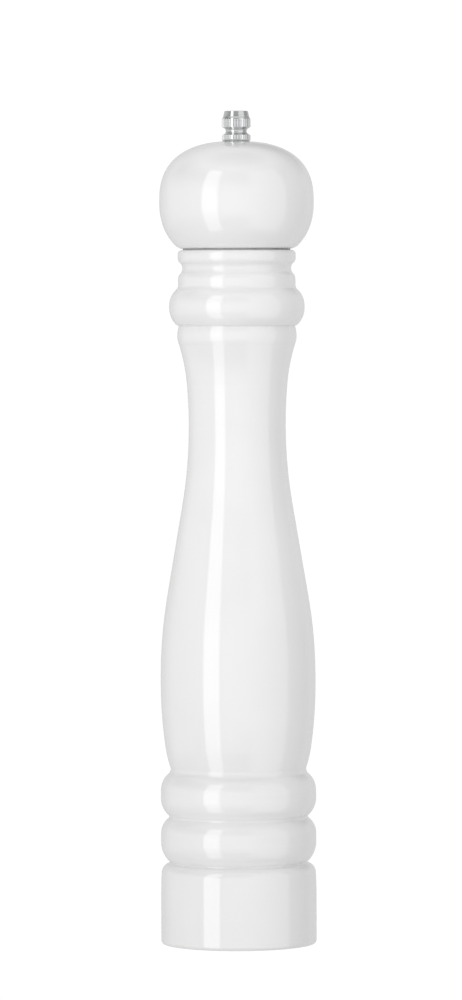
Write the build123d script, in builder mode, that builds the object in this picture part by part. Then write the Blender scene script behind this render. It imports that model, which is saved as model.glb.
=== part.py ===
"""Pepper mill with a turned wooden head and body, a square shaft and a conical ceramic burr.

Units are millimetres. +Z is up, and the origin is the centre of the foot, on the table.
Turning the head turns the shaft and the inner burr. The nut on top sets the gap between
the burrs: it draws the shaft up against the spring, or lets it down.
"""

from build123d import *
from math import cos, pi, radians, sin, tan
import os

# ---------------------------------------------------------------- driving dimensions

TOTAL_HEIGHT = 315.0
FOOT_RADIUS = 29.45
BODY_TOP = 262.6  # flat face that carries the glide ring
HEAD_BOTTOM = 263.1
CROWN_TOP = 303.7  # where the head's outline would meet the axis
BORE_RADIUS = 13.5  # the hopper that holds the peppercorns

FACE_GAP = 0.05  # between flat faces that turn on each other
PRESS_GAP = 0.02  # between a piece and the hole it is fixed in
RUNNING_GAP = 0.05  # radial, between a shaft and its bearing

# Mechanism, upwards from the open foot.
RECESS_RADIUS = 23.3
RECESS_TOP = 11.0  # the housing's flange is screwed up against this face
COUNTERBORE_RADIUS = 16.3
COUNTERBORE_TOP = 38.0
FLANGE_THICKNESS = 2.0
FLANGE_RADIUS = 22.8
SLEEVE_RADIUS = 16.1
STATOR_RADIUS = 14.5
STATOR_LIP_RADIUS = 13.2
BURR_BOTTOM = 10.0
BURR_WAIST = 16.0  # coarse breaking teeth above, fine grinding teeth below
BURR_TOP = 22.0
HUB_TOP = 23.5
SPRING_SEAT_THICKNESS = 0.6
SPRING_SEAT_RADIUS = 6.0
SPRING_SEAT_BORE = 3.35
SPRING_TOP = 33.0
BRIDGE_BOTTOM = 34.6
BRIDGE_THICKNESS = 1.5
BRIDGE_WIDTH = 9.0
BRIDGE_HALF_LENGTH = 15.4
BRIDGE_SCREW_X = 12.8

# Shaft: a square rod with its corners turned off, threaded at both ends.
SHAFT_FLATS = 5.0
SHAFT_CORNER_RADIUS = 3.2
SHAFT_BOTTOM = 3.9
SQUARE_BOTTOM = 8.6
SQUARE_TOP = 300.5
SHAFT_TOP = 311.5
LOWER_THREAD_RADIUS = 2.0
UPPER_THREAD_RADIUS = 2.5
THREAD_CHAMFER = 0.4
CLIP_BOTTOM = 37.9
CLIP_THICKNESS = 0.6
CLIP_GROOVE_RADIUS = 2.7

# Head.
HEAD_RADIUS = 29.18
HEAD_EQUATOR = 280.8
TENON_RADIUS = 13.2
TENON_BOTTOM = 251.0
HEAD_BORE_RADIUS = 3.6
DRIVE_PLATE_THICKNESS = 1.2
DRIVE_PLATE_RADIUS = 12.0
DRIVE_SCREW_CIRCLE = 8.5

# Screws.
HOUSING_SCREW_CIRCLE = 19.2
HOUSING_SCREW_COUNT = 3
HOUSING_SCREW_RADIUS = 1.5
HOUSING_SCREW_LENGTH = 14.0
DRIVE_SCREW_COUNT = 3
DRIVE_SCREW_RADIUS = 1.25
DRIVE_SCREW_LENGTH = 8.5
BRIDGE_SCREW_RADIUS = 0.95
BRIDGE_SCREW_LENGTH = 8.0
TIP_LENGTH = 2.0

FLANGE_BOTTOM = RECESS_TOP - FLANGE_THICKNESS
DRIVE_PLATE_BOTTOM = TENON_BOTTOM - DRIVE_PLATE_THICKNESS
BRIDGE_TOP = BRIDGE_BOTTOM + BRIDGE_THICKNESS


# ---------------------------------------------------------------- helpers


def save(piece, name):
    """Labels a finished piece and writes it as one STEP file."""
    piece.part.label = name
    export_step(piece.part, f"parts/{name}.step")


def bead(low, crest, flat_low, flat_high, high):
    """A turned bead seen in section: an arc out of the groove `low`, a short flat on the
    radius `crest`, and an arc into the groove `high`. Both arcs leave the flat upright."""
    TangentArc((crest, flat_low), low, tangent=(0, -1))
    Line((crest, flat_low), (crest, flat_high))
    TangentArc((crest, flat_high), high, tangent=(0, 1))


def super_ellipse(half_width, half_height, power, steps=14):
    """Points of a quarter super-ellipse from its widest point to the axis."""
    points = []
    for step in range(steps + 1):
        angle = step / steps * pi / 2
        across = half_width * max(cos(angle), 0) ** (2 / power)
        along = half_height * sin(angle) ** (2 / power)
        points.append((across, along))
    return points


def square_hole(gap):
    """Sketch of the shaft's section, wider by `gap` all round."""
    Rectangle(SHAFT_FLATS + 2 * gap, SHAFT_FLATS + 2 * gap)
    Circle(SHAFT_CORNER_RADIUS + gap, mode=Mode.INTERSECT)


def teeth(count, tip_radius, root_radius, turn):
    """Sketch of a toothed section. `turn` is how far it is twisted, in degrees."""
    points = []
    for k in range(count):
        for radius, share in ((tip_radius, 0.0), (root_radius, 0.5)):
            angle = radians(turn + (k + share) * 360 / count)
            points.append((radius * cos(angle), radius * sin(angle)))
    Polygon(*points, align=None)


def washer(bottom, thickness, outer, inner):
    """A plain washer with lightly broken outer edges."""
    with BuildPart() as ring:
        with BuildSketch(Plane.XY.offset(bottom)):
            Circle(outer)
            Circle(inner, mode=Mode.SUBTRACT)
        extrude(amount=thickness)
        rims = ring.edges().filter_by(GeomType.CIRCLE).group_by(SortBy.RADIUS)[-1]
        chamfer(rims, thickness / 6)
    return ring


# ---------------------------------------------------------------- body


def make_body():
    """One turned block. Its outline is drawn from the foot up, then the bores are cut."""
    foot_round = 1.5
    foot_shoulder = (29.22, 27.2)  # the foot tapers slightly below it
    bead_crest = 29.41
    # Grooves: lower lip, root, upper lip.
    foot_groove = ((26.3, 30.7), (26.15, 31.05), (26.3, 31.4))
    bead_groove = ((26.45, 47.85), (26.3, 48.3), (26.45, 48.8))
    belly_groove = ((26.3, 64.75), (25.72, 66.0), (25.92, 67.4))

    belly_crest = 29.32
    belly_turn = (27.49, 74.0)  # below this the belly tucks in faster
    belly_low, belly_high = 98.5, 101.5
    belly_arc = 178.0
    flank_angle = radians(9.6)
    neck_radius = 18.32
    neck_arc = 175.0
    neck_turn = (19.0, 212.0)
    flare_end = (21.88, 226.8)
    flare_crest = (22.58, 230.1)

    torus_crease = (21.98, 234.0)
    torus_lip = (23.3, 234.7)
    torus_crest = 25.6
    torus_low, torus_high = 240.7, 241.7
    torus_shoulder = (22.6, 248.05)
    collar_radius = 22.2
    collar_low, collar_high = 249.3, 251.6
    cove = ((21.4, 253.7), (20.56, 255.8), (21.15, 257.45))
    rim_radius = 22.29
    rim_low = 259.6
    rim_round = 1.5

    flank_start = (
        belly_crest - belly_arc * (1 - cos(flank_angle)),
        belly_high + belly_arc * sin(flank_angle),
    )
    flank_end_radius = neck_radius + neck_arc * (1 - cos(flank_angle))
    flank_rise = (flank_start[0] - flank_end_radius) / tan(flank_angle)
    flank_end = (flank_end_radius, flank_start[1] + flank_rise)
    neck_height = flank_end[1] + neck_arc * sin(flank_angle)

    with BuildPart() as body:
        with BuildSketch(Plane.XZ):
            with BuildLine():
                # Foot and the two beads above it.
                Line((0, 0), (FOOT_RADIUS - foot_round, 0))
                RadiusArc(
                    (FOOT_RADIUS - foot_round, 0), (FOOT_RADIUS, foot_round), -foot_round
                )
                Line((FOOT_RADIUS, foot_round), (FOOT_RADIUS, 19.0))
                taper = TangentArc((FOOT_RADIUS, 19.0), foot_shoulder, tangent=(0, 1))
                TangentArc(foot_shoulder, foot_groove[0], tangent=taper % 1)
                ThreePointArc(*foot_groove)
                bead(foot_groove[2], bead_crest, 38.6, 42.0, bead_groove[0])
                ThreePointArc(*bead_groove)
                bead(bead_groove[2], bead_crest, 55.3, 58.3, belly_groove[0])
                ThreePointArc(*belly_groove)

                # Belly, flank and neck.
                tuck = TangentArc((belly_crest, belly_low), belly_turn, tangent=(0, -1))
                TangentArc(belly_turn, belly_groove[2], tangent=tuck % 1)
                Line((belly_crest, belly_low), (belly_crest, belly_high))
                TangentArc((belly_crest, belly_high), flank_start, tangent=(0, 1))
                Line(flank_start, flank_end)
                TangentArc((neck_radius, neck_height), flank_end, tangent=(0, -1))
                flare = TangentArc((neck_radius, neck_height), neck_turn, tangent=(0, 1))
                TangentArc(neck_turn, flare_end, tangent=flare % 1)
                TangentArc(flare_crest, flare_end, tangent=(0, -1))
                TangentArc(flare_crest, torus_crease, tangent=(0, 1))

                # Torus, collar, cove and rim.
                under = TangentArc((torus_crest, torus_low), torus_lip, tangent=(0, -1))
                TangentArc(torus_lip, torus_crease, tangent=under % 1)
                Line((torus_crest, torus_low), (torus_crest, torus_high))
                TangentArc((torus_crest, torus_high), torus_shoulder, tangent=(0, 1))
                TangentArc((collar_radius, collar_low), torus_shoulder, tangent=(0, -1))
                Line((collar_radius, collar_low), (collar_radius, collar_high))
                TangentArc((collar_radius, collar_high), cove[0], tangent=(0, 1))
                ThreePointArc(*cove)
                TangentArc((rim_radius, rim_low), cove[2], tangent=(0, -1))
                Line((rim_radius, rim_low), (rim_radius, BODY_TOP - rim_round))
                RadiusArc(
                    (rim_radius, BODY_TOP - rim_round),
                    (rim_radius - rim_round, BODY_TOP),
                    -rim_round,
                )
                Line((rim_radius - rim_round, BODY_TOP), (0, BODY_TOP))
                Line((0, BODY_TOP), (0, 0))
            make_face()
        revolve(axis=Axis.Z)

        with BuildSketch(Plane.XZ):
            with BuildLine():
                Polyline(
                    (0, -1),
                    (RECESS_RADIUS + 1, -1),
                    (RECESS_RADIUS + 1, 0),
                    (RECESS_RADIUS, 1),
                    (RECESS_RADIUS, RECESS_TOP),
                    (COUNTERBORE_RADIUS, RECESS_TOP),
                    (COUNTERBORE_RADIUS, COUNTERBORE_TOP),
                    (BORE_RADIUS, COUNTERBORE_TOP),
                    (BORE_RADIUS, BODY_TOP - 0.8),
                    (BORE_RADIUS + 0.8, BODY_TOP),
                    (BORE_RADIUS + 0.8, BODY_TOP + 1),
                    (0, BODY_TOP + 1),
                    close=True,
                )
            make_face()
        revolve(axis=Axis.Z, mode=Mode.SUBTRACT)

        with BuildSketch(Plane.XY.offset(RECESS_TOP)):
            with PolarLocations(HOUSING_SCREW_CIRCLE, HOUSING_SCREW_COUNT, start_angle=90):
                Circle(HOUSING_SCREW_RADIUS + PRESS_GAP)
        extrude(amount=HOUSING_SCREW_LENGTH, mode=Mode.SUBTRACT)
    return body


# ---------------------------------------------------------------- head


def make_head():
    """The turned ball, with the tenon that centres it in the body's bore."""
    underside = 20.9
    upper = super_ellipse(HEAD_RADIUS, CROWN_TOP - HEAD_EQUATOR, 2.5)
    lower = super_ellipse(HEAD_RADIUS, 24.3, 2.3)
    floor = HEAD_BOTTOM - HEAD_EQUATOR
    lower = [(across, -along) for across, along in lower if -along > floor + 1.2]
    above = [(across, HEAD_EQUATOR + along) for across, along in upper]
    below = [(across, HEAD_EQUATOR + along) for across, along in lower]
    below.append((underside, HEAD_BOTTOM))

    with BuildPart() as head:
        with BuildSketch(Plane.XZ):
            with BuildLine():
                Spline(*below, tangents=((0, -1), (-1, -0.25)))
                Spline(*above, tangents=((0, 1), (-1, 0)))
                Polyline(
                    (0, CROWN_TOP),
                    (0, TENON_BOTTOM),
                    (TENON_RADIUS - 1, TENON_BOTTOM),
                    (TENON_RADIUS, TENON_BOTTOM + 1),
                    (TENON_RADIUS, HEAD_BOTTOM),
                    (underside, HEAD_BOTTOM),
                )
            make_face()
        revolve(axis=Axis.Z)
        with Locations((0, 0, CROWN_TOP)):
            CounterBoreHole(
                HEAD_BORE_RADIUS,
                FERRULE_RADIUS + PRESS_GAP,
                CROWN_TOP - FERRULE_BOTTOM,
                CROWN_TOP - TENON_BOTTOM,
            )
        with BuildSketch(Plane.XY.offset(TENON_BOTTOM)):
            with PolarLocations(DRIVE_SCREW_CIRCLE, DRIVE_SCREW_COUNT, start_angle=30):
                Circle(DRIVE_SCREW_RADIUS + PRESS_GAP)
        extrude(amount=DRIVE_SCREW_LENGTH, mode=Mode.SUBTRACT)
    return head


# ---------------------------------------------------------------- adjusting nut and ferrule

FERRULE_RADIUS = 5.2
FERRULE_BOTTOM = 302.7
FERRULE_TOP = 303.65
NUT_BOTTOM = FERRULE_TOP + FACE_GAP
NUT_RADIUS = 5.42
NUT_BORE_TOP = 313.0
FLUTE_COUNT = 32
FLUTE_SIDE = 0.34  # the flutes are cut with a square tool standing on its corner


def make_adjusting_nut():
    """Cap nut: tapered crown, fluted band, waist, fluted band, blind thread bore."""
    foot_radius = 5.1
    waist = ((4.5, 306.4), (3.95, 307.3), (4.4, 308.35))
    crown_low = (4.92, 312.85)
    crown_high = (4.5, TOTAL_HEIGHT - 0.3)
    with BuildPart() as nut:
        with BuildSketch(Plane.XZ):
            with BuildLine():
                Polyline(
                    (0, NUT_BOTTOM),
                    (foot_radius, NUT_BOTTOM),
                    (NUT_RADIUS, NUT_BOTTOM + 0.65),
                    (NUT_RADIUS, 305.9),
                    waist[0],
                )
                ThreePointArc(*waist)
                Polyline(
                    waist[2],
                    (NUT_RADIUS, 308.95),
                    (NUT_RADIUS, 311.8),
                    (5.22, 312.3),
                    crown_low,
                    crown_high,
                )
                ThreePointArc(
                    crown_high, (4.41, TOTAL_HEIGHT - 0.09), (4.2, TOTAL_HEIGHT)
                )
                Polyline((4.2, TOTAL_HEIGHT), (0, TOTAL_HEIGHT), (0, NUT_BOTTOM))
            make_face()
        revolve(axis=Axis.Z)
        with BuildSketch(Plane.XY.offset(NUT_BOTTOM)):
            with PolarLocations(NUT_RADIUS, FLUTE_COUNT):
                Rectangle(FLUTE_SIDE, FLUTE_SIDE, rotation=45)
        extrude(amount=TOTAL_HEIGHT - NUT_BOTTOM, mode=Mode.SUBTRACT)
        with BuildSketch(Plane.XY.offset(NUT_BOTTOM)):
            Circle(UPPER_THREAD_RADIUS + RUNNING_GAP)
        extrude(amount=NUT_BORE_TOP - NUT_BOTTOM, mode=Mode.SUBTRACT)
        mouth = nut.edges().filter_by(GeomType.CIRCLE).group_by(Axis.Z)[0]
        chamfer(mouth.sort_by(SortBy.RADIUS)[0], 0.3)
    return nut


def make_nut_ferrule():
    """Washer let into the crown, so that the nut doesn't wear the lacquer."""
    return washer(FERRULE_BOTTOM, FERRULE_TOP - FERRULE_BOTTOM, FERRULE_RADIUS, 2.75)


# ---------------------------------------------------------------- head joint


def make_glide_ring():
    """Thin ring on which the head turns. It lies loose on the body."""
    thickness = HEAD_BOTTOM - BODY_TOP - 2 * FACE_GAP
    return washer(BODY_TOP + FACE_GAP, thickness, 20.3, TENON_RADIUS + 0.4)


def make_drive_plate():
    """Disc under the tenon whose square hole turns the shaft."""
    with BuildPart() as plate:
        with BuildSketch(Plane.XY.offset(DRIVE_PLATE_BOTTOM)):
            Circle(DRIVE_PLATE_RADIUS)
        extrude(amount=DRIVE_PLATE_THICKNESS)
        chamfer(plate.edges(), 0.25)
        with BuildSketch(Plane.XY.offset(DRIVE_PLATE_BOTTOM)):
            square_hole(RUNNING_GAP)
            with PolarLocations(DRIVE_SCREW_CIRCLE, DRIVE_SCREW_COUNT, start_angle=30):
                Circle(DRIVE_SCREW_RADIUS + 0.1)
        extrude(amount=DRIVE_PLATE_THICKNESS, mode=Mode.SUBTRACT)
    return plate


# ---------------------------------------------------------------- screws


def cross(width, arm):
    """Sketch of the cross recess in a screw head."""
    Rectangle(arm, width)
    Rectangle(width, arm)


def make_housing_screws():
    """Countersunk wood screws that hold the housing's flange up against the body."""
    head_radius, head_height = 2.6, 1.3
    far = FLANGE_BOTTOM + HOUSING_SCREW_LENGTH
    with BuildPart() as one:
        with BuildSketch(Plane.XZ):
            with BuildLine():
                Polyline(
                    (0, FLANGE_BOTTOM),
                    (head_radius, FLANGE_BOTTOM),
                    (head_radius, FLANGE_BOTTOM + 0.2),
                    (HOUSING_SCREW_RADIUS, FLANGE_BOTTOM + head_height),
                    (HOUSING_SCREW_RADIUS, far - TIP_LENGTH),
                    (0, far),
                    close=True,
                )
            make_face()
        revolve(axis=Axis.Z)
        with BuildSketch(Plane.XY.offset(FLANGE_BOTTOM)):
            cross(0.7, 2.9)
        extrude(amount=0.8, mode=Mode.SUBTRACT)
    with BuildPart() as screws:
        with PolarLocations(HOUSING_SCREW_CIRCLE, HOUSING_SCREW_COUNT, start_angle=90):
            add(one.part)
    return screws


def pan_head_screws(places, face, direction, head_radius, head_height, radius, length):
    """Pan-head screws whose heads bear on the plane z = `face`. `direction` is +1 for
    shanks that point up and -1 for shanks that point down."""
    far = face + direction * length
    with BuildPart() as one:
        with BuildSketch(Plane.XZ):
            with BuildLine():
                head_end = face - direction * head_height
                Line((0, far), (0, head_end))
                Line((0, head_end), (head_radius * 0.45, head_end))
                Spline(
                    (head_radius * 0.45, head_end),
                    (head_radius * 0.87, face - direction * head_height * 0.62),
                    (head_radius, face),
                    tangents=((1, 0), (0, direction)),
                )
                Polyline(
                    (head_radius, face),
                    (radius, face),
                    (radius, far - direction * TIP_LENGTH),
                    (0, far),
                )
            make_face()
        revolve(axis=Axis.Z)
        depth = 0.55 * head_height
        cut_from = head_end if direction > 0 else head_end - depth
        with BuildSketch(Plane.XY.offset(cut_from)):
            cross(0.26 * head_radius, 1.1 * head_radius)
        extrude(amount=depth, mode=Mode.SUBTRACT)
    with BuildPart() as screws:
        with places:
            add(one.part)
    return screws


def make_drive_plate_screws():
    places = PolarLocations(DRIVE_SCREW_CIRCLE, DRIVE_SCREW_COUNT, start_angle=30)
    return pan_head_screws(
        places, DRIVE_PLATE_BOTTOM, 1, 2.3, 1.2, DRIVE_SCREW_RADIUS, DRIVE_SCREW_LENGTH
    )


def make_bridge_screws():
    places = Locations((-BRIDGE_SCREW_X, 0), (BRIDGE_SCREW_X, 0))
    return pan_head_screws(
        places, BRIDGE_TOP, -1, 1.8, 1.1, BRIDGE_SCREW_RADIUS, BRIDGE_SCREW_LENGTH
    )


# ---------------------------------------------------------------- shaft and what is on it


def make_shaft():
    """Square rod with round threaded ends and a groove for the retaining clip."""
    with BuildPart() as shaft:
        with BuildSketch(Plane.XY.offset(SQUARE_BOTTOM)):
            square_hole(0)
        extrude(amount=SQUARE_TOP - SQUARE_BOTTOM)
        with BuildSketch(Plane.XY.offset(SHAFT_BOTTOM)):
            Circle(LOWER_THREAD_RADIUS)
        extrude(amount=SQUARE_BOTTOM - SHAFT_BOTTOM)
        with BuildSketch(Plane.XY.offset(SQUARE_TOP)):
            Circle(UPPER_THREAD_RADIUS)
        extrude(amount=SHAFT_TOP - SQUARE_TOP)
        ends = shaft.edges().filter_by(GeomType.CIRCLE)
        chamfer(ends.sort_by(Axis.Z)[0], THREAD_CHAMFER)
        chamfer(ends.sort_by(Axis.Z)[-1], THREAD_CHAMFER)
        with BuildSketch(Plane.XY.offset(CLIP_BOTTOM - PRESS_GAP)):
            Circle(SHAFT_CORNER_RADIUS + 1)
            Circle(CLIP_GROOVE_RADIUS, mode=Mode.SUBTRACT)
        extrude(amount=CLIP_THICKNESS + 2 * PRESS_GAP, mode=Mode.SUBTRACT)
    return shaft


def make_retaining_clip():
    """Open clip in the shaft's groove. It lands on the bush at the coarsest setting."""
    outer = 5.0
    with BuildPart() as clip:
        with BuildSketch(Plane.XY.offset(CLIP_BOTTOM)):
            Circle(outer)
            Circle(CLIP_GROOVE_RADIUS + PRESS_GAP, mode=Mode.SUBTRACT)
            with Locations((0, -outer / 2)):
                Rectangle(2 * CLIP_GROOVE_RADIUS - 0.6, outer, mode=Mode.SUBTRACT)
            with PolarLocations(outer - 0.7, 2, start_angle=30, angular_range=240):
                Circle(0.9, mode=Mode.SUBTRACT)
        extrude(amount=CLIP_THICKNESS)
    return clip


def make_spring():
    """Open compression coil between its two seats."""
    wire_radius = 0.45
    coil_radius = 4.7
    pitch = 1.9
    low = HUB_TOP + SPRING_SEAT_THICKNESS + PRESS_GAP + wire_radius
    high = SPRING_TOP - PRESS_GAP - wire_radius
    with BuildPart() as spring:
        with BuildLine(Plane.XY.offset(low)) as coil:
            Helix(pitch, high - low, coil_radius)
        with BuildSketch(Plane(coil.line @ 0, z_dir=coil.line % 0)):
            Circle(wire_radius)
        sweep(is_frenet=True)
    return spring


def make_lock_nut():
    """Hexagon nut on the lower thread, with turned corners."""
    top = SQUARE_BOTTOM - 0.8
    height = 3.2
    flats = 7.0
    with BuildPart() as nut:
        with BuildSketch(Plane.XY.offset(top - height)):
            RegularPolygon(flats / 2, 6, major_radius=False)
            Circle(flats / 2 * 1.11, mode=Mode.INTERSECT)
            Circle(LOWER_THREAD_RADIUS + PRESS_GAP, mode=Mode.SUBTRACT)
        extrude(amount=height)
    return nut


# ---------------------------------------------------------------- burrs

FINE_TEETH = 36
RIBS = 6  # spiral ribs that draw the corns down and break them
TOOTH_DEPTH = 0.6
BURR_GAP = 0.4  # radial, at the rest setting
STATOR_OUTLET = 12.5
STATOR_WAIST = 10.5
STATOR_MOUTH = 12.6
FINE_TWIST = 8.0
RIB_TWIST = 35.0
HUB_FLATS = 9.0


def make_rotor():
    """Inner burr: fine slanted teeth below, spiral ribs above, hexagon bore for the hub."""
    with BuildPart() as rotor:
        outlet = STATOR_OUTLET - BURR_GAP
        waist = STATOR_WAIST - BURR_GAP
        with BuildSketch(Plane.XY.offset(BURR_BOTTOM)):
            teeth(FINE_TEETH, outlet, outlet - TOOTH_DEPTH, 0)
        with BuildSketch(Plane.XY.offset(BURR_WAIST)):
            teeth(FINE_TEETH, waist, waist - TOOTH_DEPTH, FINE_TWIST)
        loft(ruled=True)
        with BuildSketch(Plane.XY.offset(BURR_WAIST)):
            teeth(RIBS, waist - TOOTH_DEPTH, waist - 2.2, FINE_TWIST)
        with BuildSketch(Plane.XY.offset(BURR_TOP)):
            teeth(RIBS, 7.4, 6.2, FINE_TWIST + RIB_TWIST)
        loft(ruled=True)
        with BuildSketch(Plane.XY.offset(BURR_BOTTOM)):
            RegularPolygon(HUB_FLATS / 2 + PRESS_GAP, 6, major_radius=False)
        extrude(amount=BURR_TOP - BURR_BOTTOM, mode=Mode.SUBTRACT)
    return rotor


def make_stator():
    """Outer burr ring. It is narrowest at its waist, and the teeth slant the other way."""
    with BuildPart() as stator:
        with BuildSketch(Plane.XY.offset(BURR_BOTTOM)):
            Circle(STATOR_RADIUS)
        extrude(amount=BURR_TOP - BURR_BOTTOM)
        chamfer(stator.edges().filter_by(GeomType.CIRCLE), 0.4)
        with BuildSketch(Plane.XY.offset(BURR_BOTTOM)):
            teeth(FINE_TEETH, STATOR_OUTLET + TOOTH_DEPTH, STATOR_OUTLET, 0)
        with BuildSketch(Plane.XY.offset(BURR_WAIST)):
            teeth(FINE_TEETH, STATOR_WAIST + TOOTH_DEPTH, STATOR_WAIST, -FINE_TWIST)
        loft(ruled=True, mode=Mode.SUBTRACT)
        with BuildSketch(Plane.XY.offset(BURR_WAIST)):
            teeth(2 * RIBS, STATOR_WAIST + 2 * TOOTH_DEPTH, STATOR_WAIST, -FINE_TWIST)
        with BuildSketch(Plane.XY.offset(BURR_TOP)):
            teeth(2 * RIBS, STATOR_MOUTH + 1.2, STATOR_MOUTH, -FINE_TWIST - RIB_TWIST / 2)
        loft(ruled=True, mode=Mode.SUBTRACT)
    return stator


def make_rotor_hub():
    """Hexagon hub with a flange under the burr and a square hole for the shaft."""
    flange_radius = 7.2
    with BuildPart() as hub:
        with BuildSketch(Plane.XY.offset(SQUARE_BOTTOM)):
            Circle(flange_radius)
        extrude(amount=BURR_BOTTOM - SQUARE_BOTTOM)
        chamfer(hub.edges().filter_by(GeomType.CIRCLE).sort_by(Axis.Z)[0], 0.5)
        with BuildSketch(Plane.XY.offset(BURR_BOTTOM)):
            RegularPolygon(HUB_FLATS / 2, 6, major_radius=False)
        extrude(amount=HUB_TOP - BURR_BOTTOM)
        with BuildSketch(Plane.XY.offset(SQUARE_BOTTOM)):
            square_hole(RUNNING_GAP)
        extrude(amount=HUB_TOP - SQUARE_BOTTOM, mode=Mode.SUBTRACT)
    return hub


# ---------------------------------------------------------------- housing and bridge


def make_burr_housing():
    """Flanged sleeve that holds the outer burr, with two bosses for the bridge screws."""
    boss_inner = 10.6
    boss_width = 6.0
    floor = BURR_TOP + 0.2
    with BuildPart() as housing:
        with BuildSketch(Plane.XY.offset(FLANGE_BOTTOM)):
            Circle(FLANGE_RADIUS)
        extrude(amount=FLANGE_THICKNESS)
        chamfer(housing.edges().filter_by(GeomType.CIRCLE).sort_by(Axis.Z)[0], 0.4)
        with BuildSketch(Plane.XY.offset(RECESS_TOP)):
            Circle(SLEEVE_RADIUS)
        extrude(amount=BRIDGE_BOTTOM - RECESS_TOP)
        with BuildSketch(Plane.XY.offset(BURR_BOTTOM)):
            Circle(STATOR_RADIUS + PRESS_GAP)
        extrude(amount=BRIDGE_BOTTOM - BURR_BOTTOM, mode=Mode.SUBTRACT)
        with BuildSketch(Plane.XY.offset(FLANGE_BOTTOM)):
            Circle(STATOR_LIP_RADIUS)
        extrude(amount=FLANGE_THICKNESS, mode=Mode.SUBTRACT)
        with BuildSketch(Plane.XY.offset(floor)) as bosses:
            Circle(SLEEVE_RADIUS - 0.5)
            Rectangle(3 * SLEEVE_RADIUS, boss_width, mode=Mode.INTERSECT)
            Rectangle(2 * boss_inner, boss_width, mode=Mode.SUBTRACT)
            fillet(bosses.vertices().group_by(Axis.X)[1:3][0], 0.8)
        extrude(amount=BRIDGE_BOTTOM - floor)
        with BuildSketch(Plane.XY.offset(BRIDGE_BOTTOM)):
            with Locations((-BRIDGE_SCREW_X, 0), (BRIDGE_SCREW_X, 0)):
                Circle(BRIDGE_SCREW_RADIUS + PRESS_GAP)
        extrude(amount=-BRIDGE_SCREW_LENGTH, mode=Mode.SUBTRACT)
        with Locations(Location((0, 0, FLANGE_BOTTOM), (180, 0, 0))):
            with PolarLocations(HOUSING_SCREW_CIRCLE, HOUSING_SCREW_COUNT, start_angle=-90):
                CounterSinkHole(HOUSING_SCREW_RADIUS + 0.1, 2.9, FLANGE_THICKNESS, 90)
    return housing


def make_bridge():
    """Strap across the top of the housing, with a hole for the bush."""
    with BuildPart() as bridge:
        with BuildSketch(Plane.XY.offset(BRIDGE_BOTTOM)) as strap:
            Rectangle(2 * BRIDGE_HALF_LENGTH, BRIDGE_WIDTH)
            Circle(BRIDGE_HALF_LENGTH, mode=Mode.INTERSECT)
            fillet(strap.vertices(), 1.0)
            Circle(4.2 + PRESS_GAP, mode=Mode.SUBTRACT)
            with Locations((-BRIDGE_SCREW_X, 0), (BRIDGE_SCREW_X, 0)):
                Circle(BRIDGE_SCREW_RADIUS + 0.1, mode=Mode.SUBTRACT)
        extrude(amount=BRIDGE_THICKNESS)
        outline = bridge.faces().sort_by(Axis.Z)[-1].outer_wire().edges()
        chamfer(outline, 0.25)
    return bridge


def make_bridge_bush():
    """Flanged bearing bush, pushed up into the bridge from below."""
    bottom = SPRING_TOP + SPRING_SEAT_THICKNESS + FACE_GAP
    with BuildPart() as bush:
        with BuildSketch(Plane.XY.offset(bottom)):
            Circle(5.6)
        extrude(amount=BRIDGE_BOTTOM - bottom)
        with BuildSketch(Plane.XY.offset(BRIDGE_BOTTOM)):
            Circle(4.2)
        extrude(amount=BRIDGE_THICKNESS + 0.4)
        with BuildSketch(Plane.XY.offset(bottom)):
            Circle(SHAFT_CORNER_RADIUS + RUNNING_GAP)
        extrude(amount=BRIDGE_TOP + 0.4 - bottom, mode=Mode.SUBTRACT)
    return bush


# ---------------------------------------------------------------- build everything

if __name__ == "__main__":
    os.makedirs("parts", exist_ok=True)
    save(make_body(), "body")
    save(make_head(), "head")
    save(make_adjusting_nut(), "adjusting_nut")
    save(make_nut_ferrule(), "nut_ferrule")
    save(make_glide_ring(), "glide_ring")
    save(make_drive_plate(), "drive_plate")
    save(make_drive_plate_screws(), "drive_plate_screws")
    save(make_shaft(), "shaft")
    save(make_retaining_clip(), "retaining_clip")
    save(make_bridge(), "bridge")
    save(make_bridge_bush(), "bridge_bush")
    save(make_bridge_screws(), "bridge_screws")
    save(
        washer(SPRING_TOP, SPRING_SEAT_THICKNESS, SPRING_SEAT_RADIUS, SPRING_SEAT_BORE),
        "spring_seat_upper",
    )
    save(make_spring(), "spring")
    save(
        washer(HUB_TOP, SPRING_SEAT_THICKNESS, SPRING_SEAT_RADIUS, SPRING_SEAT_BORE),
        "spring_seat_lower",
    )
    save(make_rotor(), "rotor")
    save(make_rotor_hub(), "rotor_hub")
    save(washer(SQUARE_BOTTOM - 0.8, 0.8, 5.0, LOWER_THREAD_RADIUS + PRESS_GAP), "rotor_washer")
    save(make_lock_nut(), "lock_nut")
    save(make_stator(), "stator")
    save(make_burr_housing(), "burr_housing")
    save(make_housing_screws(), "housing_screws")
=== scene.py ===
"""Looks of the turned pepper mill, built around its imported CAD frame."""

import math

import bpy
from mathutils import Matrix, Vector


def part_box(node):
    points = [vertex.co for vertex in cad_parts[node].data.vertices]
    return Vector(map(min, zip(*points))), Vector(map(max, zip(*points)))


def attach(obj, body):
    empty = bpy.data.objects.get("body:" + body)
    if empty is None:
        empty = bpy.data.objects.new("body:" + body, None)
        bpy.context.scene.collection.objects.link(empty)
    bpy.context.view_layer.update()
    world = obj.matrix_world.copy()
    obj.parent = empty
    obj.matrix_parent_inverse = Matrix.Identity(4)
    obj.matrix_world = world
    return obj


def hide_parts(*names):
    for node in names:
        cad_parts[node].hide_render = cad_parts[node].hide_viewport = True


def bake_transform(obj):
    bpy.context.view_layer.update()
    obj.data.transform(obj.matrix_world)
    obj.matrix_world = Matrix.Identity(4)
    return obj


MM = 0.001

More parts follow.
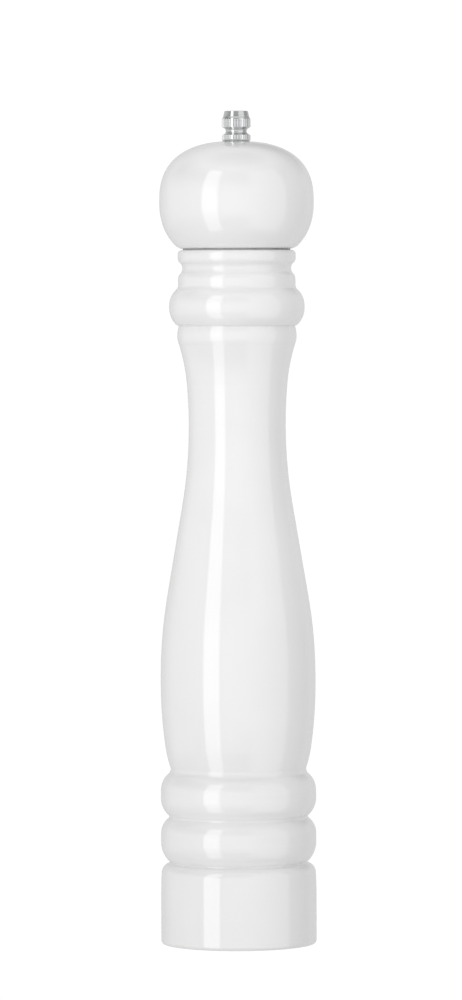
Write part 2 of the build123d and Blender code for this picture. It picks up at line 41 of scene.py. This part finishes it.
# Limits of the bare wood. The first seven are each a little past the CAD face they follow.
BARE_HOPPER_RADIUS = 13.9 * MM
BARE_COUNTERBORE_RADIUS = 16.5 * MM
BARE_COUNTERBORE_TOP = 38.1 * MM
BARE_RECESS_RADIUS = 23.35 * MM
BARE_RECESS_TOP = 11.1 * MM
BARE_TENON_TOP = 263.15 * MM
BARE_HEAD_BORE_RADIUS = 3.8 * MM
BARE_RIM_BOTTOM = 262.3 * MM
BARE_RIM_RADIUS = 17.0 * MM
BARE_TENON_RADIUS = 17.2 * MM

PAINTED_SHADE_TOP = 150 * MM  # below this height the lacquer is painted greyer, as painted shade towards the foot
CAMERA_WHITE = 1.02  # the background, as the camera sees it

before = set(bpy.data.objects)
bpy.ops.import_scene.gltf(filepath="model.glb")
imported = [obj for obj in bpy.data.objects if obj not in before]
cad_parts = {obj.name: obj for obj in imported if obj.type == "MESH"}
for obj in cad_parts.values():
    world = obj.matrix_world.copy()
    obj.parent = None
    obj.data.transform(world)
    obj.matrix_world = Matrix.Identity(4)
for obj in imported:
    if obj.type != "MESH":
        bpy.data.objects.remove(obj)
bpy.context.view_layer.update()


# ---------------------------------------------------------------- shader graphs


class Graph:
    """A material with one Principled shader, and short ways to add nodes to it.

    Texture coordinates are object coordinates. Every node's object sits at the origin, so
    they are the row frame's own metres: z is the height on the mill."""

    def __init__(self, name):
        self.material = bpy.data.materials.new(name)
        self.material.use_nodes = True
        self.tree = self.material.node_tree
        self.tree.nodes.clear()
        output = self.tree.nodes.new("ShaderNodeOutputMaterial")
        self.shader = self.tree.nodes.new("ShaderNodeBsdfPrincipled")
        self.link(self.shader.outputs["BSDF"], output.inputs["Surface"])
        self.coords = self.tree.nodes.new("ShaderNodeTexCoord").outputs["Object"]
        split = self.tree.nodes.new("ShaderNodeSeparateXYZ")
        self.link(self.coords, split.inputs[0])
        self.x, self.y, self.z = split.outputs
        squares = self.math("ADD", self.math("MULTIPLY", self.x, self.x),
                            self.math("MULTIPLY", self.y, self.y))
        self.radius = self.math("SQRT", squares)

    def link(self, output, socket):
        self.tree.links.new(output, socket)

    def feed(self, socket, value):
        """Sets a socket to a constant, or links it when the value is an output."""
        if isinstance(value, bpy.types.NodeSocket):
            self.link(value, socket)
        else:
            socket.default_value = value

    def set(self, **inputs):
        """Feeds the Principled shader; Base_Color stands for the socket Base Color."""
        for name, value in inputs.items():
            self.feed(self.shader.inputs[name.replace("_", " ")], value)

    def math(self, operation, a, b=0.0, clamp=False):
        node = self.tree.nodes.new("ShaderNodeMath")
        node.operation = operation
        node.use_clamp = clamp
        self.feed(node.inputs[0], a)
        self.feed(node.inputs[1], b)
        return node.outputs[0]

    def spread(self, value, low, high, to_low=0.0, to_high=1.0, smooth=False):
        """Maps low..high onto to_low..to_high, clamped."""
        node = self.tree.nodes.new("ShaderNodeMapRange")
        node.interpolation_type = "SMOOTHSTEP" if smooth else "LINEAR"
        self.feed(node.inputs["Value"], value)
        node.inputs["From Min"].default_value = low
        node.inputs["From Max"].default_value = high
        node.inputs["To Min"].default_value = to_low
        node.inputs["To Max"].default_value = to_high
        return node.outputs["Result"]

    def noise(self, scale, stretch=(1, 1, 1), detail=3.0, roughness=0.55, offset=0.0):
        """Noise in object space. `scale` is in features per metre."""
        mapping = self.tree.nodes.new("ShaderNodeMapping")
        self.link(self.coords, mapping.inputs["Vector"])
        mapping.inputs["Scale"].default_value = stretch
        mapping.inputs["Location"].default_value = (offset, 2 * offset, 3 * offset)
        node = self.tree.nodes.new("ShaderNodeTexNoise")
        self.link(mapping.outputs["Vector"], node.inputs["Vector"])
        node.inputs["Scale"].default_value = scale
        node.inputs["Detail"].default_value = detail
        node.inputs["Roughness"].default_value = roughness
        return node.outputs["Fac"]

    def mix(self, factor, a, b):
        """Mixes two colours given as (r, g, b) or as outputs."""
        node = self.tree.nodes.new("ShaderNodeMix")
        node.data_type = "RGBA"
        self.feed(node.inputs["Factor"], factor)
        for socket, value in ((node.inputs[6], a), (node.inputs[7], b)):
            self.feed(socket, (*value, 1.0) if isinstance(value, tuple) else value)
        return node.outputs[2]

    def blend(self, factor, a, b):
        """Mixes two plain values."""
        node = self.tree.nodes.new("ShaderNodeMix")
        self.feed(node.inputs["Factor"], factor)
        self.feed(node.inputs[2], a)
        self.feed(node.inputs[3], b)
        return node.outputs[0]

    def bump(self, height, strength, distance, under=None):
        node = self.tree.nodes.new("ShaderNodeBump")
        self.feed(node.inputs["Strength"], strength)
        node.inputs["Distance"].default_value = distance
        self.link(height, node.inputs["Height"])
        if under is not None:
            self.link(under, node.inputs["Normal"])
        return node.outputs["Normal"]


def below(graph, value, limit, soft):
    """1 where value is under limit, falling to 0 over `soft` above it."""
    return graph.spread(value, limit, limit + soft, 1.0, 0.0)


def bare_beech(graph):
    """Colour, grain height and roughness of the unlacquered beech inside."""
    growth = graph.noise(420, (1, 1, 0.05), 4, 0.6)
    fleck = graph.noise(1500, (1, 1, 0.12), 2, 0.5, 0.3)
    tone = graph.mix(graph.spread(growth, 0.35, 0.68), (0.44, 0.27, 0.15), (0.66, 0.46, 0.29))
    tone = graph.mix(graph.spread(fleck, 0.62, 0.72, 0, 0.55), tone, (0.33, 0.18, 0.09))
    return tone, growth, graph.spread(growth, 0.3, 0.7, 0.62, 0.48)


def white_lacquer(name, bare):
    """Sprayed gloss lacquer over turned wood. bare(graph) gives 1 where the wood is bare."""
    graph = Graph(name)
    mask = bare(graph)
    wood, grain, wood_rough = bare_beech(graph)

    cloud = graph.noise(38, detail=2)
    lathe = graph.noise(900, (0.02, 0.02, 1), 2, 0.5, 0.7)
    haze = graph.noise(160, detail=4, offset=1.1)
    clouded = graph.spread(cloud, 0.3, 0.7)
    # Painted shade: the lacquer's white is painted greyer towards the foot, in place of the shade
    # the floor would cast.
    high_white = graph.mix(clouded, (0.890, 0.890, 0.887), (0.912, 0.912, 0.911))
    painted_shade_white = graph.mix(clouded, (0.815, 0.815, 0.812), (0.838, 0.838, 0.837))
    white = graph.mix(graph.spread(graph.z, 0, PAINTED_SHADE_TOP), painted_shade_white, high_white)
    graph.set(
        Base_Color=graph.mix(mask, white, wood),
        Roughness=graph.blend(mask, graph.spread(cloud, 0.3, 0.7, 0.06, 0.09), wood_rough),
        IOR=1.5,
        Coat_Weight=graph.blend(mask, 1.0, 0.0),
        Coat_Roughness=graph.spread(haze, 0.3, 0.75, 0.015, 0.04),
        Coat_IOR=1.5,
    )
    # Orange peel of the lacquer, the faint turning rings under it, and the open grain inside.
    peel = graph.noise(420, detail=1.5, roughness=0.4)
    peel_normal = graph.bump(peel, 0.10, 0.00008)
    ring_normal = graph.bump(lathe, graph.blend(mask, 0.06, 0.5), 0.00006, peel_normal)
    graph.set(Normal=graph.bump(grain, graph.blend(mask, 0.0, 0.35), 0.0002, ring_normal),
              Coat_Normal=peel_normal)
    return graph.material


def ragged_edge(graph, offset):
    """How far the lacquer's edge strays, in metres."""
    return graph.spread(graph.noise(260, detail=3, offset=offset), 0.3, 0.7, -0.7 * MM, 0.7 * MM)


def body_bare(graph):
    """The hopper, the counterbore and the recess are bare, with a ragged edge of lacquer."""
    ragged = ragged_edge(graph, 2.0)
    radius = graph.math("ADD", graph.radius, ragged)
    hopper = below(graph, graph.radius, BARE_HOPPER_RADIUS, 0.4 * MM)
    counterbore = graph.math(
        "MULTIPLY", below(graph, graph.radius, BARE_COUNTERBORE_RADIUS, 0.1 * MM),
        below(graph, graph.z, BARE_COUNTERBORE_TOP, 0.1 * MM))
    recess = graph.math(
        "MULTIPLY", below(graph, graph.radius, BARE_RECESS_RADIUS, 0.1 * MM),
        graph.math("MULTIPLY", below(graph, graph.z, BARE_RECESS_TOP, 0.1 * MM),
                   graph.spread(graph.math("ADD", graph.z, ragged), 2 * MM, 3.5 * MM)))
    rim = graph.math(
        "MULTIPLY", below(graph, radius, BARE_RIM_RADIUS, 0.8 * MM),
        graph.spread(graph.z, BARE_RIM_BOTTOM, BARE_RIM_BOTTOM + 0.1 * MM))
    inside = graph.math("MAXIMUM", hopper, counterbore)
    return graph.math("MAXIMUM", inside, graph.math("MAXIMUM", recess, rim))


def head_bare(graph):
    """The tenon, the face around it and the shaft's bore are bare."""
    radius = graph.math("ADD", graph.radius, ragged_edge(graph, 3.0))
    tenon = graph.math(
        "MULTIPLY", below(graph, radius, BARE_TENON_RADIUS, 0.8 * MM),
        below(graph, graph.z, BARE_TENON_TOP, 0.05 * MM))
    return graph.math("MAXIMUM", tenon, below(graph, graph.radius, BARE_HEAD_BORE_RADIUS, 0.1 * MM))


def metal(name, colour, dark, rough, streak=(1, 1, 1), fine=2600, bump=0.08, spots=0.0):
    """Metal with fine marks. `streak` stretches the marks, `spots` adds dull blotches."""
    graph = Graph(name)
    marks = graph.noise(fine, streak, 3, 0.6)
    cloud = graph.noise(300, detail=4, offset=0.5)
    tone = graph.mix(graph.spread(marks, 0.3, 0.75), dark, colour)
    if spots:
        tone = graph.mix(graph.spread(cloud, 0.5, 0.75, 0.0, spots), tone, dark)
    rough_marks = graph.spread(marks, 0.3, 0.8, rough[0], rough[1])
    graph.set(
        Base_Color=tone,
        Metallic=1.0,
        Roughness=graph.math("ADD", rough_marks, graph.spread(cloud, 0.45, 0.8, 0.0, 0.06)),
        Normal=graph.bump(marks, bump, 0.00002),
    )
    return graph.material


def moulded(name, colour, light, rough, grain=900, bump=0.25, speck=None):
    """Moulded or sintered material: mottled colour, fine grain, optional dark specks."""
    graph = Graph(name)
    cloud = graph.noise(110, detail=4)
    fine = graph.noise(grain, detail=4, roughness=0.65, offset=0.9)
    tone = graph.mix(graph.spread(cloud, 0.3, 0.7), colour, light)
    if speck:
        dots = graph.noise(2200, detail=1, offset=1.7)
        tone = graph.mix(graph.spread(dots, 0.68, 0.74, 0.0, 0.7), tone, speck)
    graph.set(
        Base_Color=tone,
        Roughness=graph.spread(fine, 0.3, 0.75, rough[0], rough[1]),
        Normal=graph.bump(fine, bump, 0.00005),
    )
    return graph.material


# ---------------------------------------------------------------- materials on the CAD nodes

DRAWN = (1, 1, 0.02)  # marks that run along the rod
TURNED = (0.04, 0.04, 1)  # marks that run round the piece

body_white = white_lacquer("body_white_lacquer", body_bare)
head_white = white_lacquer("head_white_lacquer", head_bare)
chrome = metal("nut_chrome", (0.72, 0.725, 0.73), (0.58, 0.585, 0.59), (0.035, 0.09),
               TURNED, 3000, 0.05, 0.15)
ferrule_chrome = metal("ferrule_chrome", (0.74, 0.75, 0.76), (0.6, 0.6, 0.61), (0.12, 0.24),
                       TURNED)
drawn_steel = metal("drawn_steel", (0.62, 0.615, 0.60), (0.42, 0.415, 0.40), (0.20, 0.38),
                    DRAWN, 2600, 0.25, 0.35)
sheet_steel = metal("sheet_steel", (0.64, 0.64, 0.63), (0.46, 0.46, 0.45), (0.22, 0.42),
                    (1, 0.04, 1), 2600, 0.2, 0.3)
zinc = metal("zinc_plate", (0.66, 0.68, 0.70), (0.45, 0.46, 0.47), (0.24, 0.42),
             (1, 1, 1), 1800, 0.12, 0.5)
spring_steel = metal("spring_steel", (0.52, 0.52, 0.53), (0.33, 0.33, 0.34), (0.18, 0.34),
                     (1, 1, 1), 3200, 0.12, 0.4)
ceramic = moulded("burr_ceramic", (0.74, 0.72, 0.67), (0.83, 0.81, 0.77), (0.42, 0.62),
                  1600, 0.35, (0.42, 0.36, 0.30))
black_nylon = moulded("black_nylon", (0.014, 0.014, 0.015), (0.026, 0.026, 0.027),
                      (0.30, 0.48), 1300, 0.30)
grey_nylon = moulded("grey_nylon", (0.50, 0.50, 0.50), (0.58, 0.58, 0.57), (0.34, 0.5), 1100, 0.2)

LOOKS = {
    "body": body_white,
    "head": head_white,
    "adjusting_nut": chrome,
    "nut_ferrule": ferrule_chrome,
    "glide_ring": grey_nylon,
    "drive_plate": sheet_steel,
    "drive_plate_screws": zinc,
    "shaft": drawn_steel,
    "retaining_clip": spring_steel,
    "bridge": sheet_steel,
    "bridge_bush": grey_nylon,
    "bridge_screws": zinc,
    "spring_seat_upper": zinc,
    "spring": spring_steel,
    "spring_seat_lower": zinc,
    "rotor": ceramic,
    "rotor_hub": black_nylon,
    "rotor_washer": zinc,
    "lock_nut": zinc,
    "stator": ceramic,
    "burr_housing": black_nylon,
    "housing_screws": zinc,
}
for node_name, material in LOOKS.items():
    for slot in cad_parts[node_name].material_slots:
        slot.material = material


# ---------------------------------------------------------------- pieces built as meshes


def mesh_piece(name, points, faces, material):
    mesh = bpy.data.meshes.new(name)
    mesh.from_pydata(points, [], faces)
    mesh.validate()
    mesh.polygons.foreach_set("use_smooth", [True] * len(mesh.polygons))
    mesh.update()
    piece = bpy.data.objects.new(name, mesh)
    bpy.context.scene.collection.objects.link(piece)
    mesh.materials.append(material)
    return piece


def corners(node):
    low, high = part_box(node)
    return Vector(low), Vector(high)


def ring_stack(levels, around):
    """Points and quads of a closed solid from rings. levels is a list of (z, radius
    function of the angle); the first and last ring are closed by a centre point."""
    points = []
    for z, radius in levels:
        for k in range(around):
            angle = 2 * math.pi * k / around
            r = radius(angle)
            points.append((r * math.cos(angle), r * math.sin(angle), z))
    faces = []
    for i in range(len(levels) - 1):
        for k in range(around):
            a, b = i * around + k, i * around + (k + 1) % around
            faces.append((a, b, b + around, a + around))
    first, last = len(points), len(points) + 1
    points.append((0, 0, levels[0][0]))
    points.append((0, 0, levels[-1][0]))
    top = (len(levels) - 1) * around
    for k in range(around):
        n = (k + 1) % around
        faces.append((first, n, k))
        faces.append((last, top + k, top + n))
    return points, faces


def build_shaft():
    """The square rod with real threads on both ends."""
    low, high = corners("shaft")
    half_flat = (high.x - low.x) / 2
    corner = 3.2 * MM
    square_low, square_high = 8.6 * MM, 300.5 * MM
    groove_low, groove_high, groove_radius = 37.88 * MM, 38.52 * MM, 2.7 * MM
    chamfer = 0.4 * MM
    thread_depth, groove_half_width = 0.61, 0.44  # shares of the pitch
    root_flat = 1.15  # above 1, the thread's root is cut off flat
    rings_per_turn, around = 12, 144

    def square(angle):
        flat = half_flat / max(abs(math.cos(angle)), abs(math.sin(angle)))
        return min(flat, corner)

    def neck(angle):
        return min(square(angle), groove_radius)

    def thread(major, pitch, z, end_low, end_high):
        depth = thread_depth * pitch

        def radius(angle):
            phase = (z / pitch - angle / (2 * math.pi)) % 1
            groove = max(0.0, 1 - abs(phase - 0.5) / groove_half_width)
            r = major - depth * min(1.0, root_flat * groove)
            edge = min(z - end_low, end_high - z)
            return min(r, major - max(0.0, chamfer - edge))

        return radius

    def run(z_low, z_high, major, pitch):
        steps = int((z_high - z_low) / pitch * rings_per_turn)
        heights = [z_low + (z_high - z_low) * i / steps for i in range(steps + 1)]
        # Only the free end is chamfered; the other end meets the square.
        free_low = z_low if z_low == low.z else -1
        free_high = z_high if z_high == high.z else 9
        return [(z, thread(major, pitch, z, free_low, free_high)) for z in heights]

    def eased_square(angle):
        return square(angle) * 0.97

    ease = 0.12 * MM
    levels = run(low.z, square_low, 2.0 * MM, 0.7 * MM)  # M4
    levels += [(square_low, eased_square), (square_low + ease, square)]
    levels += [(groove_low - 0.1 * MM, square), (groove_low, square)]
    levels += [(groove_low, neck), (groove_high, neck), (groove_high, square)]
    levels += [(groove_high + 0.1 * MM, square), (square_high - ease, square)]
    levels += [(square_high, eased_square)]
    levels += run(square_high, high.z, 2.5 * MM, 0.8 * MM)  # M5
    points, faces = ring_stack(levels, around)
    shaft = mesh_piece("threaded_shaft", points, faces, drawn_steel)
    shaft.data.set_sharp_from_angle(angle=math.radians(32))
    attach(shaft, "shaft_and_burr")
    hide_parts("shaft")


def build_spring():
    """Coil with closed, ground ends."""
    low, high = corners("spring")
    wire = 0.45 * MM
    coil = (high.x - low.x) / 2 - wire
    turns, closed = 5.2, 0.85
    per_turn, around = 64, 18
    bottom, top = low.z, high.z
    open_turns = turns - 2 * closed
    ground = 0.4 * wire  # height of the wire's centre over the face ground on each end
    closed_rise = 2 * wire * 0.98 * closed
    open_rise = (top - bottom) - 2 * ground - 2 * closed_rise

    def height(turn):
        start = bottom + ground
        if turn < closed:
            return start + closed_rise * turn / closed
        if turn < closed + open_turns:
            share = (turn - closed) / open_turns
            return start + closed_rise + open_rise * share
        return start + closed_rise + open_rise + closed_rise * (turn - closed - open_turns) / closed

    points, faces = [], []
    steps = int(turns * per_turn)
    for i in range(steps + 1):
        turn = turns * i / steps
        angle = 2 * math.pi * turn
        for k in range(around):
            a = 2 * math.pi * k / around
            r = coil + wire * math.cos(a)
            z = min(max(height(turn) + wire * math.sin(a), bottom), top)
            points.append((r * math.cos(angle), r * math.sin(angle), z))
    for i in range(steps):
        for k in range(around):
            a, b = i * around + k, i * around + (k + 1) % around
            faces.append((a, b, b + around, a + around))
    faces.append(tuple(reversed(range(around))))
    faces.append(tuple(range(steps * around, steps * around + around)))
    spring = mesh_piece("coil_spring", points, faces, spring_steel)
    spring.data.set_sharp_from_angle(angle=math.radians(40))
    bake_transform(spring)
    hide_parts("spring")


build_shaft()
build_spring()


# ---------------------------------------------------------------- studio


# Light on the mill by direction. Azimuth 0 is towards the camera (-Y) and positive to its right
# (+X). Each row is a window of azimuth in degrees, and its zones: windows of elevation, each with
# its radiance. A window is low, high, softness at low, softness at high.
SOFTBOXES = (
    # Grey walls behind, at the left and at the right.
    (
        (-185, -125, 1, 15),
        ((-93, 48, 1, 10, 0.68),),
    ),
    (
        (125, 186, 15, 1),
        ((-93, 20, 1, 8, 0.68), (20, 48, 8, 10, 0.42)),
    ),
    # Reflector at the left, dimmer above and below.
    (
        (-125, -53.5, 15, 1.5),
        ((-93, -18, 1, 7, 0.60), (-18, 19, 7, 13, 0.86), (19, 48, 13, 12, 0.32)),
    ),
    # Bright upright strip, brightest at half its height.
    (
        (-53.5, -28.5, 1.5, 1.5),
        (
            (-93, -48, 1, 1.5, 0.60),
            (-48, -17, 1.5, 14, 1.6),
            (-17, 16, 14, 14, 2.4),
            (16, 50, 14, 1.5, 1.8),
        ),
    ),
    # Front panel, left half, dimmer above and below the camera.
    (
        (-28.5, 22, 1.5, 8),
        ((-93, -20, 1, 8, 0.52), (-20, 19, 8, 13, 1.05), (19, 48, 13, 12, 0.46)),
    ),
    # Front panel, right half.
    (
        (22, 80, 8, 3),
        ((-93, -45, 1, 8, 0.42), (-45, 48, 8, 8, 1.03)),
    ),
    # Unlit side at the right.
    (
        (80, 125, 3, 15),
        ((-93, -20, 1, 8, 0.52), (-20, 48, 8, 10, 0.48)),
    ),
    # Light over everything, and the dim ceiling.
    (
        (-400, 400, 1, 1),
        ((48, 68, 12, 12, 0.90), (68, 93, 12, 1, 0.46)),
    ),
)


def studio_world():
    """Soft studio seen by the object as light. The camera itself sees plain white."""
    world = bpy.data.worlds.new("studio")
    bpy.context.scene.world = world
    world.use_nodes = True
    tree = world.node_tree
    tree.nodes.clear()
    new = tree.nodes.new

    def link(a, b):
        tree.links.new(a, b)

    def math_node(operation, a, b=0.0):
        node = new("ShaderNodeMath")
        node.operation = operation
        for socket, value in zip(node.inputs, (a, b)):
            if isinstance(value, bpy.types.NodeSocket):
                link(value, socket)
            else:
                socket.default_value = value
        return node.outputs[0]

    def step(value, low, high):
        node = new("ShaderNodeMapRange")
        node.interpolation_type = "SMOOTHSTEP"
        link(value, node.inputs["Value"])
        node.inputs["From Min"].default_value = low
        node.inputs["From Max"].default_value = high
        return node.outputs["Result"]

    def window(value, low, high, soft_low, soft_high):
        rise = step(value, low - soft_low, low + soft_low)
        fall = step(value, high - soft_high, high + soft_high)
        return math_node("SUBTRACT", rise, fall)

    split = new("ShaderNodeSeparateXYZ")
    link(new("ShaderNodeTexCoord").outputs["Generated"], split.inputs[0])
    x, y, z = split.outputs
    heading = math_node("ARCTAN2", x, math_node("MULTIPLY", y, -1.0))
    azimuth = math_node("MULTIPLY", heading, math.degrees(1))
    elevation = math_node("MULTIPLY", math_node("ARCSINE", z), math.degrees(1))

    light = 0.0
    for across, zones in SOFTBOXES:
        column = window(azimuth, *across)
        for *upright, radiance in zones:
            zone = math_node("MULTIPLY", column, window(elevation, *upright))
            light = math_node("ADD", math_node("MULTIPLY", zone, radiance), light)

    strength = new("ShaderNodeMix")
    link(new("ShaderNodeLightPath").outputs["Is Camera Ray"], strength.inputs["Factor"])
    link(light, strength.inputs[2])
    strength.inputs[3].default_value = CAMERA_WHITE
    background = new("ShaderNodeBackground")
    background.inputs["Color"].default_value = (1, 1, 1, 1)
    link(strength.outputs[0], background.inputs["Strength"])
    link(background.outputs[0], new("ShaderNodeOutputWorld").inputs["Surface"])


def photo_camera():
    """Long lens a little above the neck, at the viewing angle of the photograph."""
    data = bpy.data.cameras.new("camera")
    camera = bpy.data.objects.new("camera", data)
    bpy.context.scene.collection.objects.link(camera)
    data.sensor_fit = "VERTICAL"
    data.sensor_height = 24.0
    data.lens = 147.33
    data.clip_start, data.clip_end = 0.05, 50
    distance, height, sideways = 2320 * MM, 244.5 * MM, -2.46 * MM
    looks_down, tilt = math.radians(1.885), math.radians(-0.2)
    place = Matrix.Translation((sideways, -distance, height))
    pitch = Matrix.Rotation(math.radians(90) - looks_down, 4, "X")
    roll = Matrix.Rotation(tilt, 4, "Z")
    camera.matrix_world = place @ pitch @ roll
    bpy.context.scene.camera = camera


studio_world()
photo_camera()
bpy.context.scene.view_settings.view_transform = "Standard"
